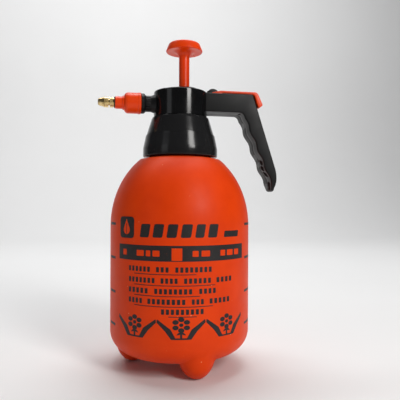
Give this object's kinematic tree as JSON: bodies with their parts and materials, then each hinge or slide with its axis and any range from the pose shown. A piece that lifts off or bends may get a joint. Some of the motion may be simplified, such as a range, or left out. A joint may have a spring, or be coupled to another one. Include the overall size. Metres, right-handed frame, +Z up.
{
  "type": "pump sprayer",
  "caption": "Hand-held compression sprayer with a screw-on pump head, side handle with thumb valve and adjustable brass nozzle.",
  "frame": {"origin": "bottle axis at the plane the feet stand on", "axes": "+Z up the bottle, -X towards the nozzle, +X towards the handle"},
  "size_m": [0.1665, 0.128, 0.2996],
  "materials": {
    "orange_bottle": "satin blow-moulded polyethylene",
    "orange_moulding": "semi-gloss injection moulding",
    "black_gloss": "glossy",
    "black_satin": "satin",
    "handle_grey": "fine matt texture",
    "rubber": "matt",
    "natural_plastic": "natural, slightly translucent",
    "brass": "turned and knurled",
    "steel": "zinc plated"
  },
  "bodies": {
    "bottle": {"bottle": "orange_bottle", "bottle_base": "orange_bottle", "bottle_shoulder": "orange_bottle"},
    "head": {"neck_gasket": "rubber", "head_housing": "black_gloss", "pump_barrel": "natural_plastic", "pump_cap": "black_gloss", "cap_gasket": "rubber", "barrel_end_cap": "natural_plastic", "check_valve": "rubber", "dip_tube": "natural_plastic", "strainer": "natural_plastic", "feed_pipe": "natural_plastic", "delivery_pipe": "natural_plastic", "valve_body": "natural_plastic", "valve_gland": "handle_grey", "stem_seal": "rubber", "handle_left": "handle_grey", "handle_right": "handle_grey", "handle_screws": "steel", "pivot_pin": "steel", "outlet_tube": "handle_grey", "union_washer": "rubber", "nozzle_tube": "orange_moulding", "nozzle_body": "brass", "nozzle_seal": "rubber"},
    "collar": {"screw_collar": "black_satin"},
    "piston": {"piston": "natural_plastic", "piston_seal": "rubber"},
    "plunger": {"pump_rod": "orange_moulding", "plunger_knob": "orange_moulding"},
    "trigger": {"trigger": "orange_moulding"},
    "valve_stem": {"valve_stem": "natural_plastic", "valve_washer": "rubber", "valve_spring": "steel"},
    "union_nut": {"union_nut": "orange_moulding"},
    "cap_seal": {"cap_oring": "rubber"},
    "nozzle_cap": {"nozzle_cap": "brass"}
  },
  "joints": [
    {"name": "head_lift", "type": "slide", "parent": "bottle", "child": "head", "axis": [0, 0, 1], "range_m": [0, 0.2]},
    {"name": "collar_turn", "type": "hinge", "parent": "head", "child": "collar", "pos_m": [0, 0, 0.21], "axis": [0, 0, 1], "continuous": true},
    {"name": "pump_stroke", "type": "slide", "parent": "head", "child": "piston", "axis": [0, 0, 1], "range_m": [-0.034, 0]},
    {"name": "knob_turn", "type": "hinge", "parent": "piston", "child": "plunger", "pos_m": [0.0035, 0, 0.25], "axis": [0, 0, 1], "continuous": true},
    {"name": "trigger_press", "type": "hinge", "parent": "head", "child": "trigger", "pos_m": [0.0305, 0, 0.2496], "axis": [0, 1, 0], "range_deg": [0, 5], "stiffness_Nm_per_rad": 1, "springref_deg": -2.86},
    {"name": "stem_press", "type": "slide", "parent": "head", "child": "valve_stem", "axis": [0, 0, -1], "range_m": [0, 0.00118], "deforming": ["valve_spring"]},
    {"name": "union_turn", "type": "hinge", "parent": "head", "child": "union_nut", "pos_m": [-0.045, 0, 0.2405], "axis": [-1, 0, 0], "continuous": true},
    {"name": "nozzle_advance", "type": "slide", "parent": "head", "child": "cap_seal", "axis": [-1, 0, 0], "range_m": [-0.00075, 0.0015]},
    {"name": "nozzle_turn", "type": "hinge", "parent": "cap_seal", "child": "nozzle_cap", "pos_m": [-0.07, 0, 0.2405], "axis": [-1, 0, 0], "range_deg": [-361, 722]}
  ],
  "couplings": [
    {"joint": "trigger_press", "follows": "stem_press", "rad_per_m": 74.074},
    {"joint": "nozzle_turn", "follows": "nozzle_advance", "rad_per_m": 8377.6}
  ]
}
